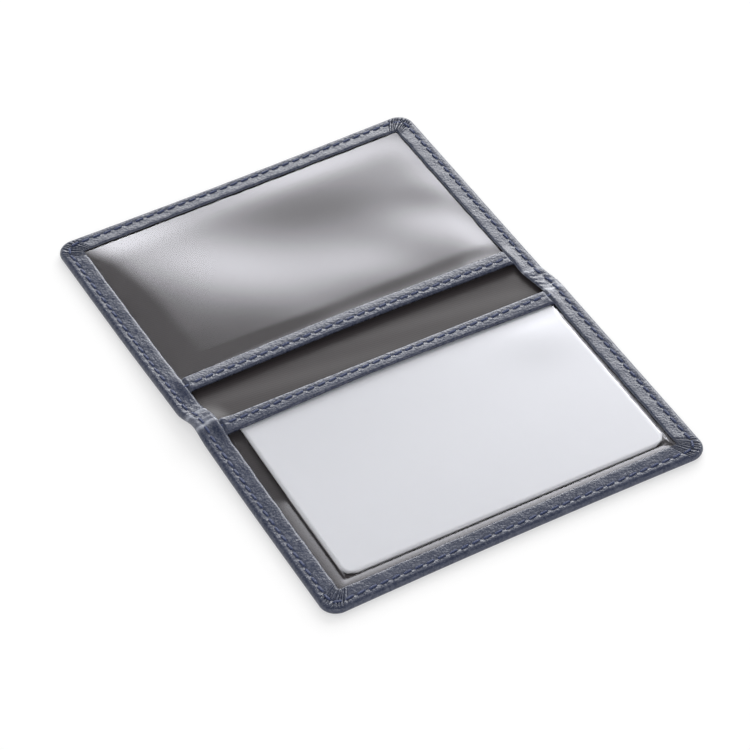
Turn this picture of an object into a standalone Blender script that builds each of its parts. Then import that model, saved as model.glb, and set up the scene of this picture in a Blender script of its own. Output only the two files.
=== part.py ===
"""Bifold badge holder: a leather cover with a turned hem, open and lying flat with its two windows up.

Metres, +Z up. X runs along the fold and Y across it: the front half, with the card, is at -Y and the back
half at +Y. The origin is on the surface that the holder lies on, under the middle of the fold.

The real cover, lining and edge seam are each one piece that bends. Here each is split at two fold lines: the
spine turns about the front fold line, and the back half turns about the back fold line.
"""

import math

import bmesh
import bpy
from mathutils import Vector

for old in list(bpy.data.objects):
    bpy.data.objects.remove(old, do_unlink=True)

# Card insert: as wide and thick as an identity card, and a little taller
CARD_WIDTH = 0.0856
CARD_HEIGHT = 0.0572
CARD_THICKNESS = 0.00076
CARD_CORNER_RADIUS = 0.00318
CARD_TURN = math.radians(-0.5)

# Sheets and strips, and the air between two that lie on each other
COVER_THICKNESS = 0.0008
LIP_THICKNESS = 0.0006
LINING_THICKNESS = 0.0002
VINYL_THICKNESS = 0.00025
BINDING_THICKNESS = 0.0004
LAYER_GAP = 0.0001

# Pocket: room round the card, and the rise of the window beside the hem
SIDE_ROOM = 0.0023
FOOT_ROOM = 0.0025
MOUTH_SETBACK = 0.0008
CARD_SIDE_CLEARANCE = 0.0002
WINDOW_RISE_RUN = 0.0002
BINDING_WIDTH = 0.0050
MOUTH_SPACING = 0.0124

# Hem
HEM_WIDTH = 0.0057
CORNER_RADIUS = 0.0044
MITRE_RADIUS = 0.0004

# Fold: room between the closed halves, between turning edges and at the slit in each sheet
CLOSED_CLEARANCE = 0.0012
TURNING_CLEARANCE = 0.00025
FOLD_SLIT = 0.0002

# Stitching
EDGE_SEAM_INSET = 0.0022
BINDING_SEAM_INSET = 0.0021
STITCH_PITCH = 0.0030
THREAD_WIDTH = 0.0006
THREAD_HEIGHT = 0.0003
SEAM_END_ROOM = 0.0004

# How far a cutter runs past what it cuts
CUT_OVERRUN = 0.0010

# One stitch: where its stations lie along the pitch, and how full the thread is at each
STITCH_STATION_SHARES = (0.0, 0.22, 0.78)
STITCH_FULLNESS_SHARES = (0.45, 1.0, 1.0)
THREAD_CROWN_SHARE = 0.55

# Segments of a quarter turn at a corner, and of the half round at an edge
CORNER_STEPS = 6
EDGE_STEPS = 6

# Plan sizes that follow
POCKET_HALF_WIDTH = CARD_WIDTH / 2 + SIDE_ROOM
HALF_WIDTH = POCKET_HALF_WIDTH + HEM_WIDTH
MOUTH_Y = MOUTH_SPACING / 2
CARD_TOP_Y = MOUTH_Y + MOUTH_SETBACK
HALF_LENGTH = CARD_TOP_Y + CARD_HEIGHT + FOOT_ROOM + HEM_WIDTH

# Heights that follow, from the surface up
LINING_Z = COVER_THICKNESS + LAYER_GAP
LINING_TOP = LINING_Z + LINING_THICKNESS
POCKET_FLOOR = LINING_TOP + LAYER_GAP
FLANGE_TOP = POCKET_FLOOR + VINYL_THICKNESS
LIP_Z = FLANGE_TOP + LAYER_GAP
HEM_TOP = LIP_Z + LIP_THICKNESS
CARD_TOP = POCKET_FLOOR + CARD_THICKNESS
BINDING_Z = CARD_TOP + LAYER_GAP
WINDOW_Z = BINDING_Z + BINDING_THICKNESS + LAYER_GAP
WINDOW_TOP = WINDOW_Z + VINYL_THICKNESS
BINDING_TOP = WINDOW_TOP + LAYER_GAP + BINDING_THICKNESS
BINDING_SEAM_Z = BINDING_TOP + LAYER_GAP
EDGE_SEAM_Z = HEM_TOP + LAYER_GAP
STACK_TOP = max(BINDING_SEAM_Z, EDGE_SEAM_Z) + THREAD_HEIGHT

# The fold lines lie level with the lining's top, far enough apart for the closed halves to clear
FOLD_Z = LINING_TOP
FOLD_Y = STACK_TOP - FOLD_Z + CLOSED_CLEARANCE / 2
PANEL_END_Y = FOLD_Y + FOLD_SLIT / 2
SPINE_END_Y = FOLD_Y - FOLD_SLIT / 2
LIP_END_Y = FOLD_Y + EDGE_SEAM_Z + THREAD_HEIGHT - FOLD_Z + TURNING_CLEARANCE

# Insets from the outer edge
WALL_INSET = COVER_THICKNESS
SHEET_INSET = WALL_INSET + LAYER_GAP
RISE_INSET = HEM_WIDTH + LAYER_GAP
WINDOW_HALF_WIDTH = HALF_WIDTH - RISE_INSET - VINYL_THICKNESS - WINDOW_RISE_RUN


def linear_colour(red, green, blue):
    """A display colour of 0 to 255 a channel, as the renderer's linear values."""
    full_scale = 255
    return [(channel / full_scale) ** 2.2 for channel in (red, green, blue)]


def material(name, colour, roughness, alpha=1.0):
    made = bpy.data.materials.new(name)
    made.use_nodes = True
    shader = made.node_tree.nodes["Principled BSDF"]
    shader.inputs["Base Color"].default_value = (*linear_colour(*colour), 1.0)
    shader.inputs["Roughness"].default_value = roughness
    shader.inputs["Metallic"].default_value = 0.0
    shader.inputs["Alpha"].default_value = alpha
    made.diffuse_color = (*linear_colour(*colour), alpha)
    return made


def leather(name):
    return material(name, (88, 93, 110), 0.5)


def nylon(name):
    return material(name, (82, 80, 86), 0.8)


def clear_vinyl(name):
    return material(name, (225, 225, 230), 0.12, 0.3)


def thread(name):
    return material(name, (66, 70, 90), 0.7)


def card_stock(name):
    return material(name, (214, 215, 219), 0.4)


def finished_object(name, mesh, finish):
    """Turns the bmesh into a named object with its own material, flat faces crisp and rounds smooth."""
    bmesh.ops.recalc_face_normals(mesh, faces=mesh.faces)
    data = bpy.data.meshes.new(name)
    mesh.to_mesh(data)
    mesh.free()
    data.shade_smooth()
    data.set_sharp_from_angle(angle=math.radians(35))
    data.materials.append(finish(name))
    made = bpy.data.objects.new(name, data)
    bpy.context.scene.collection.objects.link(made)
    return made


def half_outline(inset, end_y):
    """The front half's edge line moved inwards by inset, from its left end round to its right end."""
    half_width = HALF_WIDTH - inset
    foot_y = inset - HALF_LENGTH
    radius = max(CORNER_RADIUS - inset, MITRE_RADIUS)
    points = [(-half_width, -end_y)]
    for side, first_degrees in ((-1, 180), (1, 270)):
        centre_x = side * (half_width - radius)
        centre_y = foot_y + radius
        for step in range(CORNER_STEPS + 1):
            angle = math.radians(first_degrees + 90 * step / CORNER_STEPS)
            points.append((centre_x + radius * math.cos(angle), centre_y + radius * math.sin(angle)))
    points.append((half_width, -end_y))
    return points


def half_sheet(name, profile, end_y, finish):
    """A body of the front half: one ring for each (inset, height) of the profile, closed over the first and
    the last ring and across the fold line."""
    mesh = bmesh.new()
    rings = [
        [mesh.verts.new((x, y, height)) for x, y in half_outline(inset, end_y)]
        for inset, height in profile
    ]
    for ring, following in zip(rings, rings[1:]):
        for corners in zip(ring, ring[1:], following[1:], following):
            mesh.faces.new(corners)
    mesh.faces.new(rings[0])
    mesh.faces.new(rings[-1])
    mesh.faces.new([ring[0] for ring in rings] + [ring[-1] for ring in reversed(rings)])
    return finished_object(name, mesh, finish)


def prism(name, near_end, far_end, finish):
    """A straight body between two outlines with the same number of points."""
    mesh = bmesh.new()
    near = [mesh.verts.new(point) for point in near_end]
    far = [mesh.verts.new(point) for point in far_end]
    for index in range(len(near)):
        mesh.faces.new((near[index - 1], near[index], far[index], far[index - 1]))
    mesh.faces.new(near)
    mesh.faces.new(far)
    return finished_object(name, mesh, finish)


def spine_prism(name, section, finish):
    """A body that runs from fold line to fold line, from its (x, z) section."""
    near_end = [(x, -SPINE_END_Y, z) for x, z in section]
    far_end = [(x, SPINE_END_Y, z) for x, z in section]
    return prism(name, near_end, far_end, finish)


def box(name, low, high, finish):
    corners = [(low[0], low[1]), (high[0], low[1]), (high[0], high[1]), (low[0], high[1])]
    return prism(name, [(x, y, low[2]) for x, y in corners], [(x, y, high[2]) for x, y in corners], finish)


def cut_away(target, cutter):
    """Takes the cutter's space out of the target, and keeps the cutter as a guide only."""
    cut = target.modifiers.new("cut", "BOOLEAN")
    cut.operation = "DIFFERENCE"
    cut.object = cutter
    cutter.hide_render = True
    cutter.display_type = "WIRE"


def edge_profile():
    """The hem's section, from the base's inner side, round the lip and the edge, to the underside."""
    profile = [
        (WALL_INSET, COVER_THICKNESS),
        (WALL_INSET, LIP_Z),
        (HEM_WIDTH, LIP_Z),
        (HEM_WIDTH, HEM_TOP),
    ]
    radius = HEM_TOP / 2
    for step in range(EDGE_STEPS + 1):
        angle = math.pi * step / EDGE_STEPS
        profile.append((radius - radius * math.sin(angle), radius + radius * math.cos(angle)))
    return profile


def half_cover(name):
    """Half of the leather cover. Above the fold line its hem ends short of the fold, to leave room."""
    cover = half_sheet(name, edge_profile(), PANEL_END_Y, leather)
    relief = box(
        name + "_relief",
        (-HALF_WIDTH - CUT_OVERRUN, -LIP_END_Y, FOLD_Z),
        (HALF_WIDTH + CUT_OVERRUN, 0, HEM_TOP + CUT_OVERRUN),
        leather,
    )
    relief.parent = cover
    cut_away(cover, relief)
    return cover


def spine_cover():
    left = [(inset - HALF_WIDTH, height) for inset, height in edge_profile()]
    right = [(-x, height) for x, height in reversed(left)]
    return spine_prism("spine_cover", left + right, leather)


def half_lining(name):
    profile = [(SHEET_INSET, LINING_TOP), (SHEET_INSET, LINING_Z)]
    return half_sheet(name, profile, PANEL_END_Y, nylon)


def spine_lining():
    half_width = HALF_WIDTH - SHEET_INSET
    low = (-half_width, -SPINE_END_Y, LINING_Z)
    high = (half_width, SPINE_END_Y, LINING_TOP)
    return box("spine_lining", low, high, nylon)


def half_window(name):
    """A clear sheet with a flange under the hem on three sides, raised to leave room for a card."""
    profile = [
        (RISE_INSET + WINDOW_RISE_RUN, WINDOW_TOP),
        (RISE_INSET, FLANGE_TOP),
        (SHEET_INSET, FLANGE_TOP),
        (SHEET_INSET, POCKET_FLOOR),
        (RISE_INSET + VINYL_THICKNESS, POCKET_FLOOR),
        (RISE_INSET + VINYL_THICKNESS + WINDOW_RISE_RUN, WINDOW_Z),
    ]
    return half_sheet(name, profile, MOUTH_Y + BINDING_THICKNESS + LAYER_GAP, clear_vinyl)


def half_binding(name):
    """A leather strip folded round the window's mouth edge, as long as the window's raised part is wide."""
    radius = (BINDING_TOP - BINDING_Z) / 2
    far_y = -MOUTH_Y - BINDING_WIDTH
    slot_y = -MOUTH_Y - BINDING_THICKNESS
    section = [(far_y, BINDING_TOP), (far_y, WINDOW_TOP + LAYER_GAP), (slot_y, WINDOW_TOP + LAYER_GAP)]
    section += [(slot_y, WINDOW_Z - LAYER_GAP), (far_y, WINDOW_Z - LAYER_GAP), (far_y, BINDING_Z)]
    for step in range(EDGE_STEPS + 1):
        angle = math.pi * step / EDGE_STEPS
        across = -MOUTH_Y - radius + radius * math.sin(angle)
        section.append((across, BINDING_Z + radius - radius * math.cos(angle)))
    half_length = WINDOW_HALF_WIDTH - LAYER_GAP
    near_end = [(-half_length, y, z) for y, z in section]
    far_end = [(half_length, y, z) for y, z in section]
    return prism(name, near_end, far_end, leather)


def place_along(route, distance):
    """The point that lies a distance along a route of (x, y) points, and the route's direction there."""
    walked = 0.0
    for start, end in zip(route, route[1:]):
        run = end - start
        if walked + run.length >= distance or end is route[-1]:
            return start + run.normalized() * (distance - walked), run.normalized()
        walked += run.length


def seam(name, route, base_z):
    """One unbroken thread along a route, full on top of each stitch and thin where it dips into a hole."""
    route = [Vector(point) for point in route]
    length = sum((end - start).length for start, end in zip(route, route[1:]))
    stitches = max(1, round(length / STITCH_PITCH))
    pitch = length / stitches
    stations = [
        ((stitch + share) * pitch, fullness)
        for stitch in range(stitches)
        for share, fullness in zip(STITCH_STATION_SHARES, STITCH_FULLNESS_SHARES)
    ]
    stations.append((length, STITCH_FULLNESS_SHARES[0]))
    mesh = bmesh.new()
    rings = []
    for distance, fullness in stations:
        centre, direction = place_along(route, distance)
        side = Vector((direction.y, -direction.x)) * THREAD_WIDTH / 2 * fullness
        crown = side * THREAD_CROWN_SHARE
        top_z = base_z + THREAD_HEIGHT * fullness
        foot_left, foot_right = centre - side, centre + side
        top_left, top_right = centre - crown, centre + crown
        corners = [(*foot_left, base_z), (*foot_right, base_z), (*top_right, top_z), (*top_left, top_z)]
        rings.append([mesh.verts.new(corner) for corner in corners])
    for ring, following in zip(rings, rings[1:]):
        for index in range(len(ring)):
            mesh.faces.new((ring[index - 1], ring[index], following[index], following[index - 1]))
    mesh.faces.new(rings[0])
    mesh.faces.new(rings[-1])
    return finished_object(name, mesh, thread)


def half_edge_seam(name):
    return seam(name, half_outline(EDGE_SEAM_INSET, LIP_END_Y + SEAM_END_ROOM), EDGE_SEAM_Z)


def fold_seam(name, side):
    """The stitches on the hem across one end of the spine."""
    x = side * (HALF_WIDTH - EDGE_SEAM_INSET)
    end_y = SPINE_END_Y - SEAM_END_ROOM
    return seam(name, [(x, -end_y), (x, end_y)], EDGE_SEAM_Z)


def half_binding_seam(name):
    half_length = WINDOW_HALF_WIDTH - LAYER_GAP - SEAM_END_ROOM
    y = -MOUTH_Y - BINDING_SEAM_INSET
    return seam(name, [(-half_length, y), (half_length, y)], BINDING_SEAM_Z)


def id_card():
    """The card, pushed over to the right side of its pocket. It slides along Y, out of the mouth."""
    outline = []
    for index, (side_x, side_y) in enumerate(((1, 1), (-1, 1), (-1, -1), (1, -1))):
        centre_x = side_x * (CARD_WIDTH / 2 - CARD_CORNER_RADIUS)
        centre_y = side_y * (CARD_HEIGHT / 2 - CARD_CORNER_RADIUS)
        for step in range(CORNER_STEPS + 1):
            angle = math.radians(90 * (index + step / CORNER_STEPS))
            x = centre_x + CARD_CORNER_RADIUS * math.cos(angle)
            y = centre_y + CARD_CORNER_RADIUS * math.sin(angle)
            outline.append((x, y))
    near_end = [(x, y, 0) for x, y in outline]
    far_end = [(x, y, CARD_THICKNESS) for x, y in outline]
    card = prism("id_card", near_end, far_end, card_stock)
    turned_half_width = CARD_WIDTH / 2 * math.cos(CARD_TURN) + CARD_HEIGHT / 2 * abs(math.sin(CARD_TURN))
    x = WINDOW_HALF_WIDTH - CARD_SIDE_CLEARANCE - turned_half_width
    card.location = (x, -CARD_TOP_Y - CARD_HEIGHT / 2, POCKET_FLOOR)
    card.rotation_euler.z = CARD_TURN
    return card


def fold_line(name, y, parent=None):
    """An empty on a fold line, that carries what turns about it."""
    line = bpy.data.objects.new(name, None)
    line.location = (0, y, FOLD_Z)
    if parent:
        line.parent = parent
        line.location -= parent.location
    bpy.context.scene.collection.objects.link(line)
    return line


def carry(piece, line, line_y, half_turn=False):
    """Hangs a piece on a fold line, in place or turned half round the origin into the back half."""
    piece.parent = line
    piece.location = (0, -line_y, -FOLD_Z)
    if half_turn:
        piece.rotation_euler.z = math.pi


HALF_PIECES = {
    "cover": half_cover,
    "lining": half_lining,
    "window": half_window,
    "binding": half_binding,
    "edge_thread": half_edge_seam,
    "binding_thread": half_binding_seam,
}

front_fold = fold_line("front_fold", -FOLD_Y)
back_fold = fold_line("back_fold", FOLD_Y, front_fold)

for piece_name, make in HALF_PIECES.items():
    make("front_" + piece_name)
    carry(make("back_" + piece_name), back_fold, FOLD_Y, half_turn=True)

carry(spine_cover(), front_fold, -FOLD_Y)
carry(spine_lining(), front_fold, -FOLD_Y)
carry(fold_seam("left_fold_thread", -1), front_fold, -FOLD_Y)
carry(fold_seam("right_fold_thread", 1), front_fold, -FOLD_Y)

id_card()
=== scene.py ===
"""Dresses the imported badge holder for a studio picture, with its materials, relief, floor and lights.

Every length is in metres, in the frame's own coordinates: x runs along the fold, y from the card's
half to the empty one, and z up from the table. Each half is drawn as the front one, with y below 0,
and the back one is the same half turned half round. A rate is in radians per metre.
"""

import math

import bmesh
import bpy
import numpy as np
from mathutils import Matrix, Vector

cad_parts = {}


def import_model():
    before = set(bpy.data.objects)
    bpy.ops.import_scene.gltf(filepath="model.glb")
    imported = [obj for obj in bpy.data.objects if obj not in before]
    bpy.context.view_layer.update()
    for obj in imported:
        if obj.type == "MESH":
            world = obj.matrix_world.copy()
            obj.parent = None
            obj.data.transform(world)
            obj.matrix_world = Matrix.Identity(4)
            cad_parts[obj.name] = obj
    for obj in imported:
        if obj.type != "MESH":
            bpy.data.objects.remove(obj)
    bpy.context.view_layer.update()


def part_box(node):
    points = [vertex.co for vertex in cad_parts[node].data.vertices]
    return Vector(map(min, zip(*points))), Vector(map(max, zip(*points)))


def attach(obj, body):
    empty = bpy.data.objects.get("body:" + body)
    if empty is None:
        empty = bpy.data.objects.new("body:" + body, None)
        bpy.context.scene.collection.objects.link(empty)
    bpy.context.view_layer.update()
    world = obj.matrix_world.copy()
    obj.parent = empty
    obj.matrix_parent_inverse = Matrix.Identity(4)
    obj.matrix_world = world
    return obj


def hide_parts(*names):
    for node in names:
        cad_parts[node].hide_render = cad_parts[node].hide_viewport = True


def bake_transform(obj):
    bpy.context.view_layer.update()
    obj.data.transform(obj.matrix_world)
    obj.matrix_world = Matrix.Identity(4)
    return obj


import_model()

# Sizes that the frame gives
COVER_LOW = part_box("front_cover")[0]
HALF_WIDTH = -COVER_LOW.x
HALF_LENGTH = -COVER_LOW.y
CARD_LOW, CARD_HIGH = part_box("id_card")

# Halves, as the sign that turns front coordinates into placed ones
FRONT = 1
BACK = -1
NAMES = {FRONT: "front", BACK: "back"}

# Tolerances
MERGE_DISTANCE = 0.0000001
NEARLY_NOTHING = 0.000001

# Leather cover and its turned hem
CORNER_RADIUS = 0.0044
MITRE_RADIUS = 0.0004
HEM_WIDTH = 0.0057
CAP_INSET = 0.0065
COVER_THICKNESS = 0.0008
HEM_HEIGHT = 0.00212
HEM_WAVER = 0.00004
HEM_WAVER_RATES = (410.0, 930.0)
EDGE_RADIUS = 0.00106
LIP_THICKNESS = 0.00036
LIP_ROUND = 0.00014
WALL_INSET = 0.0015
SEAM_INSET = 0.0022
COARSE_STEP = 0.0005
FINE_STEP = 0.00013
FINE_REACH = 0.0045
CORNER_STEPS = 56
EDGE_STEPS = 9
HEM_STEPS = 20
LIP_STEPS = 6
UNDER_LIP_STEPS = 4
OUTER_FACE_STEPS = 6
INNER_FACE_STEPS = 4
EDGE_TURN_SHARE = 0.95
LIP_TURN_SHARE = 0.8
EDGE_CLEARANCE_FACTOR = 1.1
WALL_CLEARANCE_FACTOR = 1.2
WALL_RELIEF_SHARE = 0.3
FOOT_FACE_STEPS = 20
CAP_COLUMNS = 48

# Relief of the hem
GROOVE_WIDTH = 0.00040
GROOVE_DEPTH = 0.00006
HOLE_WIDTH = 0.00032
HOLE_DEPTH = 0.00011
PUCKER_HEIGHT = 0.00005
PUCKER_OFFSET = 0.00080
PUCKER_WIDTH = 0.00040
LIP_FALL = 0.00022
LIP_FALL_WIDTH = 0.0004
PUFF_HEIGHT = 0.00015
PUFF_START = 0.0025
PUFF_FULL = 0.0050
PLEAT_FAN_INSET = 0.0095
PLEAT_PITCH = math.radians(5.0)
PLEAT_SPREAD = math.radians(19)
PLEAT_FADE = math.radians(3)
PLEAT_DEPTH = 0.00055
PLEAT_START = 0.0003
PLEAT_FULL = 0.0014
PLEAT_WANDER = 0.22
PLEAT_WANDER_FACTOR = 19
PLEAT_SHARPNESS = 1.6
PLEAT_VARIATION = 0.25
PLEAT_VARIATION_FACTOR = 2.1 * math.pi
TUCK_LIFT = 0.00060
TUCK_WIDTH = 0.0030
TUCK_START = 0.0030
TUCK_FULL = 0.0052
LEFT_CREASES = (-0.0018, -0.0063)
RIGHT_CREASES = (0.0016, -0.0063)
CREASE_WIDTH = 0.00042
CREASE_HEIGHT = 0.00016
CREASE_SLANT = 0.12
CREASE_WANDER = 0.0002
CREASE_RATE = 1500.0
WRINKLE_HEIGHT = 0.00010
WRINKLE_PITCH = 0.0019
WRINKLE_MIDDLE = -0.002
WRINKLE_REACH = 0.0040
WRINKLE_SLANT = 0.15
WRINKLE_WANDER = 0.0003
WRINKLE_RATE = 1900.0
UNEVENNESS = 0.00002
UNEVEN_HEM_RATES = (470.0, 390.0, 900.0)

# Marks of the hem's colour: paler for rubbing and painted highlights, darker for painted shade, and where
# Creases: pale for rubbing, with a painted highlight along them
CREASE_WEAR_AND_HIGHLIGHT = 0.9
# Painted highlight on the puckers beside the needle holes, and the rates at which it varies
PUCKER_HIGHLIGHT = 0.35
PUCKER_HIGHLIGHT_RATES = (2900.0, 2300.0)
# Pale rubbing and painted highlight where the hem crumples over the fold
CRUMPLE_WEAR_AND_HIGHLIGHT = 0.35
CRUMPLE_MIDDLE = -0.004
CRUMPLE_REACH = 0.0030
CRUMPLE_DEPTH = 0.006
# Pale cut edge and painted highlight along the hem's lip
LIP_WEAR_AND_HIGHLIGHT = 0.30
LIP_WEAR_AND_HIGHLIGHT_WIDTH = 0.0003
# Painted shade along the seam's groove
SEAM_SHADE = 0.15

# How the open holder lies on the table
FOLD_RAISE = 0.0011
FOLD_RAISE_REACH = 0.022
RIDGE_RAISE = 0.0009
RIDGE_MIDDLE = -0.0042
RIDGE_REACH = 0.0070
RIDGE_START = 0.0405
RIDGE_FULL = 0.0465
BACK_TURN = math.radians(0.223)
BACK_SHIFT = -0.001156
BACK_EASE = (-0.0050, 0.0030)
END_PULL = 0.00055
END_PULL_DEPTH = 0.0056

# Stitching
STITCH_PITCH = 0.0030
STITCH_LENGTH = 0.0024
THREAD_WIDTH = 0.00066
THREAD_HEIGHT = 0.00044
STITCH_SLANT = math.radians(6)
STITCH_DIP = 0.00026
STITCH_LIFT = 0.00014
STITCH_BLUNTNESS = 6
STITCH_TIP_AREA_SHARE = 0.05
STITCH_DIP_BEND = 8
SEAM_END_ROOM = 0.0006
STITCH_SECTIONS = 9
STITCH_SIDES = 8

# Leather strips at the pocket mouths
STRIP_WIDTH = 0.0050
STRIP_MOUTH = 0.0062
STRIP_HALF_LENGTH = 0.0466
STRIP_BOTTOM = 0.00198
STRIP_THICKNESS = 0.00104
STRIP_END_DROP = 0.00056
STRIP_END_THICKNESS = 0.00072
STRIP_DROP_START = 0.0443
STRIP_DROP_END = 0.0456
STRIP_SEAM_INSET = 0.0021
STRIP_BOW = {FRONT: 0.0, BACK: 0.00080}
STRIP_BOW_REACH = 0.034
STRIP_NARROWING = {FRONT: 0.22, BACK: 0.0}
STRIP_TILT = {FRONT: 0.00040, BACK: 0.0}
STRIP_STEPS = 620
STRIP_FOLD_STEPS = 9
STRIP_TOP_STEPS = 16
STRIP_EDGE_ROUND = 0.0002
STRIP_FALL = 0.00010
STRIP_FALL_WIDTH = 0.0016
UNEVEN_STRIP_RATES = (620.0, 1500.0)

# Pale marks of the strips, rubbing and a painted highlight: on the cut edge of the back one and on the fold
# of the front one
STRIP_WEAR_AND_HIGHLIGHT_VARIATION = 0.35
STRIP_WEAR_AND_HIGHLIGHT_RATES = (1700.0, 610.0)
CUT_WEAR_AND_HIGHLIGHT_START = 0.00045
CUT_WEAR_AND_HIGHLIGHT_FULL = 0.0001
FOLD_WEAR_AND_HIGHLIGHT_INSET = 0.00035
FOLD_WEAR_AND_HIGHLIGHT_WIDTH = 0.00022
FOLD_WEAR_AND_HIGHLIGHT_SHARES = (0.7, 0.9)

# Lining sheet
LINING_BOTTOM = 0.00084
LINING_THICKNESS = 0.00016
LINING_INSET = 0.0020
RIPPLE_HEIGHT = 0.00003
RIPPLE_RATES = (700.0, 120.0)
RIPPLE_REACH = 0.006
RIPPLE_END_ROOM = 0.012
RIB_ANGLE = math.radians(96)
LINING_COLUMNS = 120
LINING_ROWS = 130

# Clear vinyl windows
VINYL_THICKNESS = 0.00012
VINYL_INSET = 0.0022
VINYL_FLANGE = 0.00160
CARD_GAP = 0.00006
STRIP_GAP = 0.00005
SLACK_START = -0.031
SLACK_FULL = -0.038
SLACK_WANDER = 0.0008
SLACK_RATE = 900.0
MARGIN_BEND = 20.0
DIP_SLOPE = 0.10
DIP_MOST = 0.00028
DIP_EASE = 0.5
DIP_REACH = 0.0010
GLARE_SPOT = (0.0370, -0.0200)
GLARE_REACH = (0.0090, 0.0070)
GLARE_HEIGHT = 0.00016
VINYL_MOUTH_INSET = 0.0026
VINYL_FALL = 0.0060
VINYL_DROP_START = {FRONT: 0.0443, BACK: 0.0340}
VINYL_MARGIN = 0.0100
VINYL_FINE_STEP = 0.00025
VINYL_COARSE_STEP = 0.0008

# Swells of the empty pocket's vinyl, each with its middle, its reach along and across, turn and height
SWELLS = (
    ((-0.038, 0.022), (0.015, 0.016), math.radians(-13), 0.00081),
    ((-0.026, 0.037), (0.017, 0.033), math.radians(42), 0.00134),
    ((0.018, 0.018), (0.022, 0.012), math.radians(-21), 0.00063),
    ((0.034, 0.025), (0.010, 0.017), math.radians(38), 0.00050),
    ((0.065, 0.035), (0.028, 0.007), math.radians(-19), 0.00049),
    ((0.019, 0.059), (0.035, 0.012), math.radians(-5), 0.00042),
)
SIDE_RISE = 0.0100
FOOT_RISE = 0.0104

# Card
CARD_WIDTH = 0.0856
CARD_HEIGHT = 0.0572
CARD_CORNER_RADIUS = 0.00318
CARD_TURN = math.radians(-0.5)
CARD_COLUMNS = 90
CARD_ROWS = 60

# Camera
LENS_PIXELS = 3214.18
FRAME_PIXELS = 750
SENSOR_WIDTH = 36.0
CAMERA_AZIMUTH = math.radians(-26.761)
CAMERA_ELEVATION = math.radians(44.388)
CAMERA_ROLL = math.radians(-2.755)
CAMERA_DISTANCE = 0.77754
CAMERA_TARGET = Vector((-0.003871, -0.008365, 0.0))
CAMERA_CLIP_START = 0.01

# Depth of the materials' fine relief
CLOUD_BUMP = 0.00005
WRINKLE_BUMP = 0.00005
PEBBLE_BUMP = 0.00008
FINE_BUMP = 0.00004
WEAVE_BUMP = 0.00004
TWIST_BUMP = 0.00006
TOOTH_BUMP = 0.00002

# Floor and sky
FLOOR_REACH = 3.0
FLOOR_SEGMENTS = 8
FLOOR_DROP = 0.0001
FLOOR_WHITE_SHARE = 0.52
SKY_FILL = 0.47
CEILING_START = 0.36
CEILING_FULL = 0.62

# Lights: azimuth and elevation in degrees, distance, size, radiance, and fades left, right, top and bottom
LIGHTS = {
    "key_light": (47, 27.8, 3.0, (4.2, 2.6), 6.2, (0.30, 0.15, 0.48, 0.2)),
    "top_light": (25, 76, 1.2, (0.7, 0.5), 2.4, (0.3, 0.3, 0.3, 0.3)),
    "front_light": (205, 30, 3.0, (3.6, 1.8), 2.6, (0.3, 0.3, 0.3, 0.3)),
}


def smooth(low, high, value):
    """0 below low, 1 above high and a smooth rise between them."""
    share = np.clip((value - low) / (high - low), 0, 1)
    return share * share * (3 - 2 * share)


def bell(value, width):
    """A smooth bump of height 1 around 0."""
    return np.exp(-((value / width) ** 2))


def settle(points):
    """Lays flat points as the open holder lies: fold raised at its left, back half turned, ends drawn in."""
    x, y, z = np.array(points, float).T
    left_share = np.clip((HALF_WIDTH - x) / (2 * HALF_WIDTH), 0, 1)
    ridge = np.cos(math.pi / 2 * np.clip((y - RIDGE_MIDDLE) / RIDGE_REACH, -1, 1)) ** 2
    at_hem = smooth(RIDGE_START, RIDGE_FULL, -x)
    raised = FOLD_RAISE * bell(y, FOLD_RAISE_REACH) + RIDGE_RAISE * ridge * at_hem
    eased = smooth(*BACK_EASE, y)
    turn = BACK_TURN * eased
    moved_x = x - y * turn + BACK_SHIFT * eased
    at_end = smooth(HALF_LENGTH - END_PULL_DEPTH, HALF_LENGTH, np.abs(y))
    drawn_in = END_PULL * at_end * (1 - (x / HALF_WIDTH) ** 2)
    moved_y = y + x * turn - np.sign(y) * drawn_in
    return np.stack([moved_x, moved_y, z + left_share * raised], axis=1)


def place(points, half):
    """Turns points drawn for the front half to their own half, and lays them as the holder lies."""
    turned = np.array(points, float) * (half, half, 1)
    return settle(turned)


def lay_down(bm, half):
    """Moves a bmesh drawn for the front half to where it lies."""
    bm.verts.ensure_lookup_table()
    placed = place([vert.co for vert in bm.verts], half)
    for vert, point in zip(bm.verts, placed):
        vert.co = point


def finish_mesh(name, bm, material):
    """Makes an object of a bmesh, smooth-shaded, with its faces turned outwards."""
    bmesh.ops.recalc_face_normals(bm, faces=bm.faces)
    for face in bm.faces:
        face.smooth = True
    mesh = bpy.data.meshes.new(name)
    bm.to_mesh(mesh)
    bm.free()
    mesh.materials.append(material)
    obj = bpy.data.objects.new(name, mesh)
    bpy.context.scene.collection.objects.link(obj)
    return obj


def add_grid(bm, points, closed=False):
    """Adds a grid of points, shaped rows by columns by 3, with the rows joined round where it is closed."""
    rows, columns = points.shape[:2]
    verts = [[bm.verts.new(point) for point in row] for row in points]
    last = rows if closed else rows - 1
    for i in range(last):
        for j in range(columns - 1):
            lower, upper = verts[i], verts[(i + 1) % rows]
            bm.faces.new((lower[j], lower[j + 1], upper[j + 1], upper[j]))
    return verts


def shares_to_corner(length):
    """Places along a straight edge as shares of its length, close together near the corner at its end."""
    fine_start = 1 - FINE_REACH / length
    coarse = np.linspace(0, fine_start, round(fine_start * length / COARSE_STEP), endpoint=False)
    return np.concatenate([coarse, np.linspace(fine_start, 1, round(FINE_REACH / FINE_STEP) + 1)])


SIDE_SHARES = shares_to_corner(HALF_LENGTH)
FOOT_SHARES = np.concatenate([-shares_to_corner(HALF_WIDTH)[::-1], shares_to_corner(HALF_WIDTH)[1:]])
SIDE_STEPS = len(SIDE_SHARES) - 1


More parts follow.
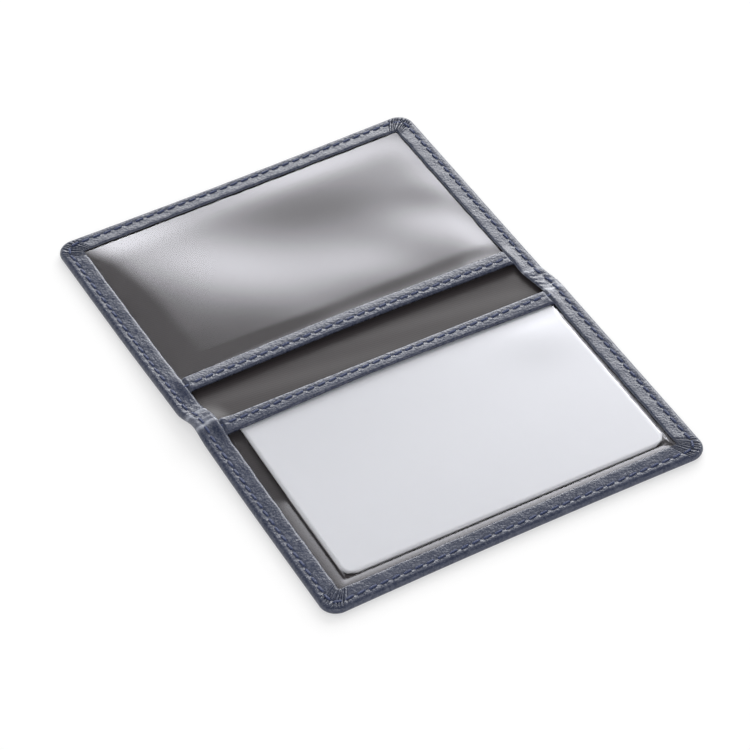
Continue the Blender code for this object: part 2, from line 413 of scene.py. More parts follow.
def half_outline(inset, radius):
    """One half's outline, from the fold's left end round the foot to the fold's right end."""
    across = HALF_WIDTH - inset - radius
    along = HALF_LENGTH - inset - radius
    side = SIDE_SHARES[:-1]
    foot = FOOT_SHARES[:-1]
    turn = np.linspace(0, math.pi / 2, CORNER_STEPS, endpoint=False)
    back_up = SIDE_SHARES[::-1]
    x = [np.full(len(side), -across - radius), -across - radius * np.cos(turn), across * foot,
         across + radius * np.sin(turn), np.full(len(back_up), across + radius)]
    y = [-along * side, -along - radius * np.sin(turn), np.full(len(foot), -along - radius),
         -along - radius * np.cos(turn), -along * back_up]
    return np.stack([np.concatenate(x), np.concatenate(y)], axis=1)


def hem_outline(inset):
    """The outline at a depth into the hem: round outside, mitred inside, and square beyond it."""
    outer = half_outline(0, CORNER_RADIUS)
    mitre = half_outline(HEM_WIDTH, MITRE_RADIUS)
    if inset <= HEM_WIDTH:
        x, y = outer.T
        slow, quick = HEM_WAVER_RATES
        waves = np.sin(slow * (x + y)) + np.sin(quick * (x - y) + 1)
        waver = HEM_WAVER * waves * smooth(SEAM_INSET, HEM_WIDTH, inset)
        return outer + (mitre - outer) * (inset + waver[:, None]) / HEM_WIDTH
    square = half_outline(CAP_INSET, 0)
    return mitre + (square - mitre) * (inset - HEM_WIDTH) / (CAP_INSET - HEM_WIDTH)


def run_length(path):
    """Length along a path from its start to each point."""
    steps = np.linalg.norm(np.diff(path, axis=0), axis=1)
    return np.concatenate([[0], np.cumsum(steps)])


def pleats(x, y):
    """Depth share of the gathers at a corner, which fan out from a point inside it."""
    over_x = np.abs(x) - (HALF_WIDTH - PLEAT_FAN_INSET)
    over_y = np.abs(y) - (HALF_LENGTH - PLEAT_FAN_INSET)
    angle = np.arctan2(over_y, over_x) - math.pi / 4
    gathered = smooth(PLEAT_SPREAD + PLEAT_FADE, PLEAT_SPREAD, np.abs(angle))
    wander = np.sin(PLEAT_WANDER_FACTOR * angle + 2 * np.sign(x) + np.sign(y))
    uneven = angle / PLEAT_PITCH + PLEAT_WANDER * wander
    valley = (1 - np.abs(np.sin(math.pi * uneven))) ** PLEAT_SHARPNESS
    varied = np.sin(PLEAT_VARIATION_FACTOR * uneven + np.sign(x))
    depth = 1 - PLEAT_VARIATION + PLEAT_VARIATION * varied
    return np.where((over_x > 0) & (over_y > 0), gathered * valley * depth, 0)


def past_hole(run):
    """How far along a seam a point lies from the nearest needle hole."""
    return (run / STITCH_PITCH - np.round(run / STITCH_PITCH)) * STITCH_PITCH


def puckers(off_line, from_hole):
    """Small swellings on both sides of each needle hole."""
    beside = bell(np.abs(off_line) - PUCKER_OFFSET, PUCKER_WIDTH)
    return beside * bell(from_hole, PUCKER_WIDTH)


def stitch_relief(inset, run, middle):
    """Groove of a seam, its needle holes, and the puckers beside them."""
    from_hole = past_hole(run)
    off_line = inset - middle
    groove = GROOVE_DEPTH * bell(off_line, GROOVE_WIDTH)
    holes = HOLE_DEPTH * bell(off_line, HOLE_WIDTH) * bell(from_hole, HOLE_WIDTH)
    return PUCKER_HEIGHT * puckers(off_line, from_hole) - groove - holes


def slanted(x, y, slant, wander, rate):
    """How far a point lies across lines that slant over the hem and wander a little."""
    return y + slant * (np.abs(x) - HALF_WIDTH) + wander * np.sin(rate * x)


def creases(x, y):
    """Share of the sharp creases across the hem where it turns over the fold."""
    skewed = slanted(x, y, CREASE_SLANT, CREASE_WANDER, CREASE_RATE)
    left = sum(bell(skewed - place_of, CREASE_WIDTH) for place_of in LEFT_CREASES)
    right = sum(bell(skewed - place_of, CREASE_WIDTH) for place_of in RIGHT_CREASES)
    return np.where(x < 0, left, right)


def fold_relief(x, y):
    """Cross creases beside the strips' ends and the small wrinkles between them."""
    skewed = slanted(x, y, WRINKLE_SLANT, WRINKLE_WANDER, WRINKLE_RATE)
    wrinkles = np.sin(2 * math.pi * skewed / WRINKLE_PITCH) * bell(y - WRINKLE_MIDDLE, WRINKLE_REACH)
    return WRINKLE_HEIGHT * wrinkles + CREASE_HEIGHT * creases(x, y)


def wear_and_painted_light(inset, run, x, y):
    """How pale the hem is made on creases, puckers, its crumple and lip, by rubbing and painted highlights,
    less the painted shade in its folds and seam.
    """
    from_hole = past_hole(run)
    x_rate, y_rate = PUCKER_HIGHLIGHT_RATES
    uneven = 0.5 + 0.5 * np.sin(x_rate * x + 1) * np.sin(y_rate * y)
    # Painted highlight on the puckers, varied along the seam
    pucker_highlights = PUCKER_HIGHLIGHT * puckers(inset - SEAM_INSET, from_hole) * uneven
    # Pale rubbing and painted highlight where the hem crumples over the fold
    in_hem = smooth(HALF_WIDTH - CRUMPLE_DEPTH, HALF_WIDTH - CRUMPLE_DEPTH / 2, np.abs(x))
    crumpled_wear_and_highlight = CRUMPLE_WEAR_AND_HIGHLIGHT * bell(y - CRUMPLE_MIDDLE, CRUMPLE_REACH) * in_hem
    # Pale cut edge and painted highlight along the lip
    lip_wear_and_highlight = LIP_WEAR_AND_HIGHLIGHT * smooth(HEM_WIDTH - LIP_WEAR_AND_HIGHLIGHT_WIDTH, HEM_WIDTH, inset)
    # Painted shade in the valleys of the corner pleats
    folded = pleats(x, y) * smooth(PLEAT_START, PLEAT_FULL, inset)
    # Painted shade along the seam's groove
    painted_seam_shade = SEAM_SHADE * bell(inset - SEAM_INSET, GROOVE_WIDTH)
    # Creases, puckers, crumple and lip paler for rubbing and painted highlights; pleats and seam darker for
    # painted shade
    return CREASE_WEAR_AND_HIGHLIGHT * creases(x, y) + pucker_highlights + crumpled_wear_and_highlight + lip_wear_and_highlight - folded - painted_seam_shade


def hem_relief(inset, run, x, y):
    """Height that sewing and folding add to the hem's top face."""
    gathers = PLEAT_DEPTH * pleats(x, y) * smooth(PLEAT_START, PLEAT_FULL, inset)
    over_strip = bell(np.abs(y) - STRIP_MOUTH - STRIP_WIDTH / 2, TUCK_WIDTH)
    tuck = TUCK_LIFT * over_strip * smooth(TUCK_START, TUCK_FULL, inset)
    x_rate, y_rate, slant_rate = UNEVEN_HEM_RATES
    waves = np.sin(x_rate * x + 2) * np.sin(y_rate * y) + np.sin(slant_rate * (x + y))
    uneven = UNEVENNESS * waves
    puff = PUFF_HEIGHT * smooth(PUFF_START, PUFF_FULL, inset)
    return stitch_relief(inset, run, SEAM_INSET) + tuck + puff + fold_relief(x, y) + uneven - gathers


def cover_rings():
    """Inset, height and relief share of each ring, from the outer face round the edge to the inner face."""
    by_edge = EDGE_RADIUS * EDGE_CLEARANCE_FACTOR
    rings = [(inset, 0, 0) for inset in np.linspace(CAP_INSET, by_edge, OUTER_FACE_STEPS)]
    for turn in np.linspace(-EDGE_TURN_SHARE, EDGE_TURN_SHARE, EDGE_STEPS) * math.pi / 2:
        depth = EDGE_RADIUS * (1 - math.cos(turn))
        height = HEM_HEIGHT / 2 * (1 + math.sin(turn))
        rings.append((depth, height, (1 + math.sin(turn)) / 2))
    for inset in np.linspace(EDGE_RADIUS, HEM_WIDTH - LIP_ROUND, HEM_STEPS):
        fall = LIP_FALL * smooth(HEM_WIDTH - LIP_FALL_WIDTH, HEM_WIDTH, inset)
        rings.append((inset, HEM_HEIGHT - fall, 1))
    under_lip = HEM_HEIGHT - LIP_THICKNESS
    for turn in np.linspace(LIP_TURN_SHARE, -1, LIP_STEPS) * math.pi / 2:
        depth = HEM_WIDTH - LIP_ROUND * (1 - math.cos(turn))
        height = under_lip + (LIP_THICKNESS - LIP_FALL) / 2 * (1 + math.sin(turn))
        rings.append((depth, height, 1))
    by_wall = WALL_INSET * WALL_CLEARANCE_FACTOR
    for inset in np.linspace(HEM_WIDTH - 2 * LIP_ROUND, by_wall, UNDER_LIP_STEPS):
        rings.append((inset, under_lip, 1))
    rings.append((WALL_INSET, under_lip - LIP_THICKNESS / 2, WALL_RELIEF_SHARE))
    for inset in np.linspace(by_wall, CAP_INSET, INNER_FACE_STEPS):
        rings.append((inset, COVER_THICKNESS, 0))
    return rings


def cover_band(half):
    """The turned hem as a grid of rings by outline points, before it is laid down, with its rubbing, painted
    highlights and painted shade.
    """
    seam_run = run_length(hem_outline(SEAM_INSET))
    grid, wear_and_light_marks = [], []
    for inset, height, share in cover_rings():
        path = hem_outline(inset)
        spot = (inset, seam_run, path[:, 0] * half, path[:, 1] * half)
        grid.append(np.column_stack([path, height + share * hem_relief(*spot)]))
        wear_and_light_marks.append(share * wear_and_painted_light(*spot))
    return np.array(grid), np.array(wear_and_light_marks)


def mark_wear_and_painted_light(layer, verts, wear_and_light_marks):
    """Stores each point's rubbing and painted highlight, or painted shade below 0, which the leather's colour
    reads.
    """
    for row, shares in zip(verts, wear_and_light_marks):
        for vert, share in zip(row, shares):
            vert[layer] = share


def add_cap(bm, ring):
    """Closes the panel inside a ring: rows from side to side, and one face along the foot."""
    count = len(ring)
    rows = []
    for i in range(SIDE_STEPS - FOOT_FACE_STEPS):
        left, right = ring[i], ring[count - 1 - i]
        places = [left.co.lerp(right.co, j / CAP_COLUMNS) for j in range(1, CAP_COLUMNS)]
        rows.append([left, *(bm.verts.new(place_of) for place_of in places), right])
    for upper, lower in zip(rows, rows[1:]):
        for j in range(CAP_COLUMNS):
            bm.faces.new((upper[j], lower[j], lower[j + 1], upper[j + 1]))
    around = ring[len(rows) - 1:count - len(rows) + 1]
    bm.faces.new(around + rows[-1][-2:0:-1])


def close_cut(bm):
    """Fills the open ends at the fold's middle and keeps their rims sharp, so no line shows across it."""
    rim = [edge for edge in bm.edges if edge.is_boundary]
    bmesh.ops.holes_fill(bm, edges=rim, sides=0)
    for edge in rim:
        edge.smooth = False


def cover(half, material):
    """One half of the leather cover with its hem, in one closed skin."""
    bm = bmesh.new()
    # Per-point layer of rubbing, painted highlights and painted shade, read by the leather's colour
    layer = bm.verts.layers.float.new("wear_and_painted_light")
    band, wear_and_light_marks = cover_band(half)
    verts = add_grid(bm, band)
    mark_wear_and_painted_light(layer, verts, wear_and_light_marks)
    add_cap(bm, verts[0])
    add_cap(bm, verts[-1])
    bmesh.ops.remove_doubles(bm, verts=bm.verts, dist=MERGE_DISTANCE)
    close_cut(bm)
    lay_down(bm, half)
    return finish_mesh(f"cover_{NAMES[half]}", bm, material)


def stitch(centre, heading):
    """A ring grid for one stitch: a flattened thread whose ends dip into the leather."""
    share = np.linspace(-1, 1, STITCH_SECTIONS)
    along = share * STITCH_LENGTH / 2
    girth = np.sqrt(np.clip(1 - share ** STITCH_BLUNTNESS, STITCH_TIP_AREA_SHARE, 1))
    dip = STITCH_DIP * share ** STITCH_DIP_BEND
    turn = np.linspace(0, 2 * math.pi, STITCH_SIDES, endpoint=False)
    forward = np.array([math.cos(heading), math.sin(heading), 0])
    sideways = np.array([-math.sin(heading), math.cos(heading), 0])
    up = np.array([0, 0, 1])
    rings = []
    for step in range(STITCH_SECTIONS):
        middle = centre + forward * along[step] - up * dip[step]
        across = np.outer(np.cos(turn) * girth[step] * THREAD_WIDTH / 2, sideways)
        above = np.outer(np.sin(turn) * girth[step] * THREAD_HEIGHT / 2, up)
        rings.append(middle + across + above)
    return np.array(rings)


def add_stitch(bm, centre, heading):
    """Adds one stitch as a closed tube."""
    rings = stitch(np.array(centre), heading)
    wrapped = np.concatenate([rings, rings[:, :1]], axis=1)
    verts = add_grid(bm, wrapped)
    bm.faces.new(verts[0][-2::-1])
    bm.faces.new(verts[-1][:-1])


def add_row(bm, path, height_at):
    """Adds a row of stitches along a path, each a little above the leather's height there."""
    run = run_length(path)
    count = int((run[-1] + SEAM_END_ROOM) / STITCH_PITCH)
    for i in range(count):
        middle = (i + 0.5) * STITCH_PITCH
        ends = [np.array([np.interp(middle + shift, run, path[:, k]) for k in (0, 1)])
                for shift in (-STITCH_LENGTH / 3, STITCH_LENGTH / 3)]
        spot = (ends[0] + ends[1]) / 2
        heading = math.atan2(*(ends[1] - ends[0])[::-1]) + STITCH_SLANT
        add_stitch(bm, (*spot, height_at(spot, middle) + STITCH_LIFT), heading)


def hem_stitches(half, material):
    """The row of stitches round one half's hem."""
    def height_at(spot, run):
        """Height of the hem's top face at a place on its seam."""
        x, y = spot * half
        return HEM_HEIGHT + float(hem_relief(SEAM_INSET, run, x, y))

    bm = bmesh.new()
    add_row(bm, hem_outline(SEAM_INSET), height_at)
    bmesh.ops.remove_doubles(bm, verts=bm.verts, dist=MERGE_DISTANCE)
    lay_down(bm, half)
    return finish_mesh(f"hem_stitches_{NAMES[half]}", bm, material)


def strip_section(x):
    """Cross-section of a leather strip at x, as points of inset from the mouth, height and relief share."""
    drop = smooth(STRIP_DROP_START, STRIP_DROP_END, abs(x))
    bottom = STRIP_BOTTOM - STRIP_END_DROP * drop
    thickness = STRIP_THICKNESS + (STRIP_END_THICKNESS - STRIP_THICKNESS) * drop
    radius = thickness / 2
    section = []
    for turn in np.linspace(-math.pi / 2, math.pi / 2, STRIP_FOLD_STEPS):
        rise = 1 + math.sin(turn)
        section.append((radius * (1 - math.cos(turn)), bottom + radius * rise, rise / 2))
    for inset in np.linspace(radius, STRIP_WIDTH - STRIP_EDGE_ROUND, STRIP_TOP_STEPS)[1:]:
        section.append((inset, bottom + thickness, 1))
    section.append((STRIP_WIDTH, bottom + thickness - STRIP_EDGE_ROUND, 1))
    section.append((STRIP_WIDTH, bottom + STRIP_EDGE_ROUND, 0))
    section.append((STRIP_WIDTH - STRIP_EDGE_ROUND, bottom, 0))
    return np.array(section)


def strip_relief(inset, run, x):
    """Height that the seam and small waves add to a strip's top face, less its fall toward the cut edge."""
    fall = STRIP_FALL * smooth(STRIP_WIDTH - STRIP_FALL_WIDTH, STRIP_WIDTH, inset)
    x_rate, inset_rate = UNEVEN_STRIP_RATES
    uneven = UNEVENNESS * np.sin(x_rate * x + 1) * np.sin(inset_rate * inset)
    return stitch_relief(inset, run, STRIP_SEAM_INSET) - fall + uneven


def strip_bend(half, x, inset):
    """Where an inset lies, and how far it is raised, as the strip bows and tilts at its middle."""
    at_middle = bell(x, STRIP_BOW_REACH)
    y = -STRIP_MOUTH - inset * (1 - STRIP_NARROWING[half] * at_middle) - STRIP_BOW[half] * at_middle
    return y, STRIP_TILT[half] * at_middle * inset / STRIP_WIDTH


def strip_wear_and_highlight(half, inset, share, x):
    """How pale a strip is made by rubbing and a painted highlight: the back one along its cut edge, and the
    front one on top of its fold.
    """
    quick, slow = STRIP_WEAR_AND_HIGHLIGHT_RATES
    waves = np.sin(quick * x) * np.sin(slow * x + 1)
    uneven = 1 - STRIP_WEAR_AND_HIGHLIGHT_VARIATION + STRIP_WEAR_AND_HIGHLIGHT_VARIATION * waves
    if half == BACK:
        return uneven * smooth(STRIP_WIDTH - CUT_WEAR_AND_HIGHLIGHT_START, STRIP_WIDTH - CUT_WEAR_AND_HIGHLIGHT_FULL, inset)
    return uneven * bell(inset - FOLD_WEAR_AND_HIGHLIGHT_INSET, FOLD_WEAR_AND_HIGHLIGHT_WIDTH) * smooth(*FOLD_WEAR_AND_HIGHLIGHT_SHARES, share)


def strip(half, material):
    """The folded leather strip along one pocket's mouth."""
    columns, wear_and_light_marks = [], []
    for x in np.linspace(-STRIP_HALF_LENGTH, STRIP_HALF_LENGTH, STRIP_STEPS):
        section = strip_section(x)
        inset, height, share = section.T
        relief = strip_relief(inset, x + STRIP_HALF_LENGTH, x * half)
        wear_and_light_marks.append(strip_wear_and_highlight(half, inset, share, x * half))
        y, raised = strip_bend(half, x, inset)
        columns.append(np.column_stack([np.full(len(section), x), y, height + share * relief + raised]))
    bm = bmesh.new()
    # Per-point layer of the strip's rubbing and painted highlight, read by the leather's colour
    layer = bm.verts.layers.float.new("wear_and_painted_light")
    verts = add_grid(bm, np.array(columns).transpose(1, 0, 2), closed=True)
    mark_wear_and_painted_light(layer, verts, np.array(wear_and_light_marks).T)
    bm.faces.new([row[0] for row in verts])
    bm.faces.new([row[-1] for row in reversed(verts)])
    lay_down(bm, half)
    return finish_mesh(f"strip_{NAMES[half]}", bm, material)


def strip_stitches(half, material):
    """The row of stitches along one pocket mouth's strip."""
    def height_at(spot, run):
        """Height of the strip's top face at a place on its seam."""
        top = strip_section(spot[0])[:, 1].max()
        raised = strip_bend(half, spot[0], STRIP_SEAM_INSET)[1]
        return top + raised + float(strip_relief(STRIP_SEAM_INSET, run, spot[0] * half))

    x = np.linspace(-STRIP_HALF_LENGTH, STRIP_HALF_LENGTH, STRIP_STEPS)
    path = np.column_stack([x, strip_bend(half, x, STRIP_SEAM_INSET)[0]])
    bm = bmesh.new()
    add_row(bm, path, height_at)
    lay_down(bm, half)
    return finish_mesh(f"strip_stitches_{NAMES[half]}", bm, material)


def add_closed_sheet(bm, lower, upper):
    """Adds a lower and an upper grid of points, joined round their rims, and gives the faces of the rim."""
    rows, columns = lower.shape[:2]
    under = add_grid(bm, lower)
    over = add_grid(bm, upper)
    rim = [(0, j) for j in range(columns)] + [(i, columns - 1) for i in range(1, rows)]
    rim += [(rows - 1, j) for j in range(columns - 2, -1, -1)] + [(i, 0) for i in range(rows - 2, 0, -1)]
    faces = []
    for (i, j), (k, m) in zip(rim, rim[1:] + rim[:1]):
        faces.append(bm.faces.new((under[i][j], under[k][m], over[k][m], over[i][j])))
    return faces


def sheet_between(name, half, x, y, bottom, thickness, material):
    """A thin closed sheet over a grid of x and y, with its underside at the given heights."""
    across, along = np.meshgrid(x, y)
    lower = np.stack([across, along, bottom], axis=2)
    upper = lower + np.array([0, 0, thickness])
    bm = bmesh.new()
    for face in add_closed_sheet(bm, lower, upper):
        for edge in face.edges:
            edge.smooth = False
    lay_down(bm, half)
    return finish_mesh(name, bm, material)


def lining(half, material):
    """The woven lining of one half, laid over the cover and up to the fold's middle."""
    x = np.linspace(-HALF_WIDTH + LINING_INSET, HALF_WIDTH - LINING_INSET, LINING_COLUMNS)
    y = np.linspace(-HALF_LENGTH + LINING_INSET, 0, LINING_ROWS)
    across, along = np.meshgrid(x * half, y * half)
    in_fold = bell(along, RIPPLE_REACH) * smooth(HALF_WIDTH, HALF_WIDTH - RIPPLE_END_ROOM, np.abs(across))
    along_rate, across_rate = RIPPLE_RATES
    ripple = RIPPLE_HEIGHT * np.sin(along_rate * along + across_rate * across) * in_fold
    bottom = LINING_BOTTOM + ripple
    return sheet_between(f"lining_{NAMES[half]}", half, x, y, bottom, LINING_THICKNESS, material)


def card_distance(across, along):
    """How far a point lies outside the card's edge, in the front half's coordinates."""
    middle = (CARD_LOW + CARD_HIGH) / 2
    from_x, from_y = across - middle.x, along - middle.y
    cosine, sine = math.cos(CARD_TURN), math.sin(CARD_TURN)
    local_x = from_x * cosine + from_y * sine
    local_y = -from_x * sine + from_y * cosine
    over_x = np.abs(local_x) - CARD_WIDTH / 2
    over_y = np.abs(local_y) - CARD_HEIGHT / 2
    outside = np.hypot(np.clip(over_x, 0, None), np.clip(over_y, 0, None))
    return outside + np.minimum(np.maximum(over_x, over_y), 0)


def swell(across, along, middle, reach, turn):
    """A smooth oval bump of height 1."""
    from_x, from_y = across - middle[0], along - middle[1]
    lengthwise = from_x * math.cos(turn) + from_y * math.sin(turn)
    crosswise = from_y * math.cos(turn) - from_x * math.sin(turn)
    return bell(lengthwise, reach[0]) * bell(crosswise, reach[1])


def card_window_height(across, along):
    """Underside of the vinyl over the card: flat on the card, and stretched down to the hem round it."""
    from_card = np.clip(card_distance(across, along), 0, None)
    from_hem = np.minimum(HALF_WIDTH - HEM_WIDTH - np.abs(across), HALF_LENGTH - HEM_WIDTH - np.abs(along))
    from_hem = np.clip(from_hem, 0, None)
    margin = from_hem + from_card + NEARLY_NOTHING
    share = from_hem / margin
    wandering = along + SLACK_WANDER * np.sin(SLACK_RATE * along)
    slack = smooth(SLACK_START, SLACK_FULL, wandering) * (across < 0)
    at_foot = smooth(0, DIP_REACH, HALF_WIDTH - np.abs(across) - HALF_LENGTH + np.abs(along))
    climb = share ** MARGIN_BEND
    dip = np.minimum(DIP_SLOPE * margin, DIP_MOST) * np.maximum(at_foot, slack)
    dip = dip * share * (DIP_EASE + (1 - DIP_EASE) * share) * (1 - climb)
    glare = GLARE_HEIGHT * swell(across, along, GLARE_SPOT, GLARE_REACH, 0)
    return VINYL_FLANGE + (CARD_HIGH.z + CARD_GAP - VINYL_FLANGE) * climb + glare * climb - dip


def leaving(distance, reach):
    """How free the vinyl is at a distance from a hem: 0 at the hem and 1 beyond a reach."""
    return 1 - np.clip(1 - distance / reach, 0, 1) ** 3


def empty_window_height(across, along):
    """Underside of the empty pocket's vinyl, which is held by the hem and lies in a few soft swells."""
    from_side = HALF_WIDTH - HEM_WIDTH - np.abs(across)
    from_foot = HALF_LENGTH - HEM_WIDTH - along
    free = leaving(from_side, SIDE_RISE) * leaving(from_foot, FOOT_RISE)
    rise = sum(height * swell(across, along, middle, reach, turn) for middle, reach, turn, height in SWELLS)
    return VINYL_FLANGE + rise * free


def spaced(start, end, step):
    """Even places from start up to, but not with, end."""
    return np.linspace(start, end, round((end - start) / step), endpoint=False)


def window(half, material):
    """The clear vinyl of one pocket, from under the hem to inside the strip, with fine steps near the hem."""
    side = HALF_WIDTH - VINYL_INSET
    foot = -HALF_LENGTH + VINYL_INSET
    margin = spaced(-side, -side + VINYL_MARGIN, VINYL_FINE_STEP)
    middle = spaced(-side + VINYL_MARGIN, 0, VINYL_COARSE_STEP)
    x = np.concatenate([margin, middle, [0], -middle[::-1], -margin[::-1]])
    inner = spaced(foot + VINYL_MARGIN, -STRIP_MOUTH - VINYL_MOUTH_INSET, VINYL_COARSE_STEP)
    y = np.concatenate([spaced(foot, foot + VINYL_MARGIN, VINYL_FINE_STEP), inner])
    across, along = np.meshgrid(x, y)
    shape = card_window_height if half == FRONT else empty_window_height
    height = shape(across * half, along * half)
    at_strip = smooth(STRIP_MOUTH + STRIP_WIDTH + VINYL_FALL, STRIP_MOUTH + STRIP_WIDTH, np.abs(along))
    tucked = smooth(VINYL_DROP_START[half], STRIP_DROP_END, np.abs(across))
    in_strip = STRIP_BOTTOM + STRIP_GAP - STRIP_END_DROP * tucked
    height = height + (in_strip - height) * at_strip
    return sheet_between(f"window_{NAMES[half]}", half, x, y, height, VINYL_THICKNESS, material)


def card(material):
    """The card, with rounded corners and smoothly shaded edges, laid as the half under it lies."""
    middle = (CARD_LOW + CARD_HIGH) / 2
    half_x, half_y = CARD_WIDTH / 2, CARD_HEIGHT / 2
    grid = []
    for v in np.linspace(-1, 1, CARD_ROWS):
        y = v * half_y
        depth = max(0.0, abs(y) - (half_y - CARD_CORNER_RADIUS))
        reach = half_x - CARD_CORNER_RADIUS + math.sqrt(max(0.0, CARD_CORNER_RADIUS ** 2 - depth ** 2))
        grid.append([(u * reach, y) for u in np.linspace(-1, 1, CARD_COLUMNS)])
    flat = np.array(grid)
    cosine, sine = math.cos(CARD_TURN), math.sin(CARD_TURN)
    placed = flat @ np.array([[cosine, sine], [-sine, cosine]]) + (middle.x, middle.y)
    lower, upper = (np.concatenate([placed, np.full((CARD_ROWS, CARD_COLUMNS, 1), height)], axis=2)
                    for height in (CARD_LOW.z, CARD_HIGH.z))
    bm = bmesh.new()
    add_closed_sheet(bm, lower, upper)
    lay_down(bm, FRONT)
    return finish_mesh("card", bm, material)


def new_material(name):
    """An empty node material, with its node tree."""
    material = bpy.data.materials.new(name)
    material.use_nodes = True
    tree = material.node_tree
    tree.nodes.clear()
    return material, tree


def add_node(tree, kind, **inputs):
    """Adds a shader node and sets its inputs by name, with spaces as underscores."""
    node = tree.nodes.new(kind)
    for key, value in inputs.items():
        node.inputs[key.replace("_", " ")].default_value = value
    return node


def object_coordinates(tree):
    """Where a point lies on its piece, in metres."""
    return tree.nodes.new("ShaderNodeTexCoord").outputs["Object"]


def add_texture(tree, kind, where, **inputs):
    """Adds a texture or mapping node that reads a place, and sets its other inputs."""
    node = add_node(tree, kind, **inputs)
    tree.links.new(where, node.inputs["Vector"])
    return node


def calculated(tree, operation, first, second):
    """The result of a maths node on two values, each of which is linked or plain."""
    node = tree.nodes.new("ShaderNodeMath")
    node.operation = operation
    for socket, value in zip(node.inputs, (first, second)):
        if isinstance(value, bpy.types.NodeSocket):
            tree.links.new(value, socket)
        else:
            socket.default_value = value
    return node.outputs[0]


def ramp(tree, factor, stops):
    """A colour ramp over a factor, from (place, colour) stops."""
    node = tree.nodes.new("ShaderNodeValToRGB")
    elements = node.color_ramp.elements
    while len(elements) < len(stops):
        elements.new(0.5)
    for element, (place_of, colour) in zip(elements, stops):
        element.position = place_of
        element.color = (*colour, 1)
    tree.links.new(factor, node.inputs["Fac"])
    return node.outputs["Color"]


def bump(tree, height, distance, strength=1.0, below=None):
    """A bump from a height, over another one where it is given."""
    node = add_node(tree, "ShaderNodeBump", Strength=strength, Distance=distance)
    tree.links.new(height, node.inputs["Height"])
    if below is not None:
        tree.links.new(below, node.inputs["Normal"])
    return node.outputs["Normal"]


def mixed(tree, factor, first, second, low, high):
    """Mixes a linked colour with a plain one as a factor goes from low to high."""
    spread = add_node(tree, "ShaderNodeMapRange", From_Min=low, From_Max=high)
    tree.links.new(factor, spread.inputs["Value"])
    node = tree.nodes.new("ShaderNodeMixRGB")
    node.inputs["Color2"].default_value = (*second, 1)
    tree.links.new(spread.outputs["Result"], node.inputs["Fac"])
    tree.links.new(first, node.inputs["Color1"])
    return node.outputs["Color"]


def mixed_shader(tree, share, first, second):
    """A shader that goes from one node's to another's as a linked share goes from 0 to 1."""
    mix = tree.nodes.new("ShaderNodeMixShader")
    tree.links.new(share, mix.inputs["Fac"])
    tree.links.new(first.outputs[0], mix.inputs[1])
    tree.links.new(second.outputs[0], mix.inputs[2])
    return mix


def finish_material(tree, shader):
    """Puts a shader on the material's output."""
    output = tree.nodes.new("ShaderNodeOutputMaterial")
    tree.links.new(shader.outputs[0], output.inputs["Surface"])


def leather_material():
    """Slate leather with a small pebble grain, paler for rubbing and painted highlights where the mesh's mark
    is above 0, and darker for painted shade below it.
    """
    material, tree = new_material("slate_leather")
    where = object_coordinates(tree)
    pebbles = add_texture(tree, "ShaderNodeTexVoronoi", where, Scale=1700.0, Randomness=1.0)
    cloud = add_texture(tree, "ShaderNodeTexNoise", where, Scale=260.0, Detail=4.0)
    wrinkles = add_texture(tree, "ShaderNodeTexNoise", where, Scale=900.0, Detail=6.0, Roughness=0.7)
    fine = add_texture(tree, "ShaderNodeTexNoise", where, Scale=3400.0, Detail=2.0)
    shader = add_node(tree, "ShaderNodeBsdfPrincipled", Specular_IOR_Level=0.5)
    hide = ramp(tree, cloud.outputs["Fac"], [(0.3, (0.034, 0.042, 0.074)), (0.7, (0.043, 0.052, 0.089))])
    grained = mixed(tree, wrinkles.outputs["Fac"], hide, (0.100, 0.110, 0.150), 0.50, 0.74)
    specked = mixed(tree, fine.outputs["Fac"], grained, (0.15, 0.16, 0.20), 0.58, 0.84)
    wear_and_light_marks = tree.nodes.new("ShaderNodeAttribute")
    wear_and_light_marks.attribute_name = "wear_and_painted_light"
    # Paler for rubbing and painted highlights on creases, puckers, crumple, lip and strip edges
    paler_for_wear_and_highlight = mixed(tree, wear_and_light_marks.outputs["Fac"], specked, (0.36, 0.38, 0.44), 0.05, 1.0)
    # Darker for painted shade in the corner pleats and along the seam
    colour = mixed(tree, wear_and_light_marks.outputs["Fac"], paler_for_wear_and_highlight, (0.012, 0.014, 0.024), -0.10, -0.90)
    tree.links.new(colour, shader.inputs["Base Color"])
    gloss = ramp(tree, wrinkles.outputs["Fac"], [(0.35, (0.24, 0.24, 0.24)), (0.65, (0.32, 0.32, 0.32))])
    tree.links.new(gloss, shader.inputs["Roughness"])
    grain = bump(tree, cloud.outputs["Fac"], CLOUD_BUMP)
    grain = bump(tree, wrinkles.outputs["Fac"], WRINKLE_BUMP, 1.0, grain)
    grain = bump(tree, pebbles.outputs["Distance"], PEBBLE_BUMP, 0.8, grain)
    grain = bump(tree, fine.outputs["Fac"], FINE_BUMP, 0.8, grain)
    tree.links.new(grain, shader.inputs["Normal"])
    finish_material(tree, shader)
    return material


def lining_material():
    """Dark woven nylon with fine, slightly slanted ribs."""
    material, tree = new_material("woven_lining")
    where = object_coordinates(tree)
    turned = add_texture(tree, "ShaderNodeMapping", where, Rotation=(0, 0, RIB_ANGLE))
    ribs = add_texture(tree, "ShaderNodeTexWave", turned.outputs["Vector"], Scale=480.0, Distortion=3.0,
                       Detail=2.0, Detail_Scale=0.25)
    shader = add_node(tree, "ShaderNodeBsdfPrincipled", Roughness=0.42, Specular_IOR_Level=0.28)
    colour = ramp(tree, ribs.outputs["Fac"], [(0.0, (0.039, 0.033, 0.035)), (1.0, (0.048, 0.042, 0.044))])
    tree.links.new(colour, shader.inputs["Base Color"])
    weave = bump(tree, ribs.outputs["Fac"], WEAVE_BUMP, 0.15)
    tree.links.new(weave, shader.inputs["Normal"])
    finish_material(tree, shader)
    return material


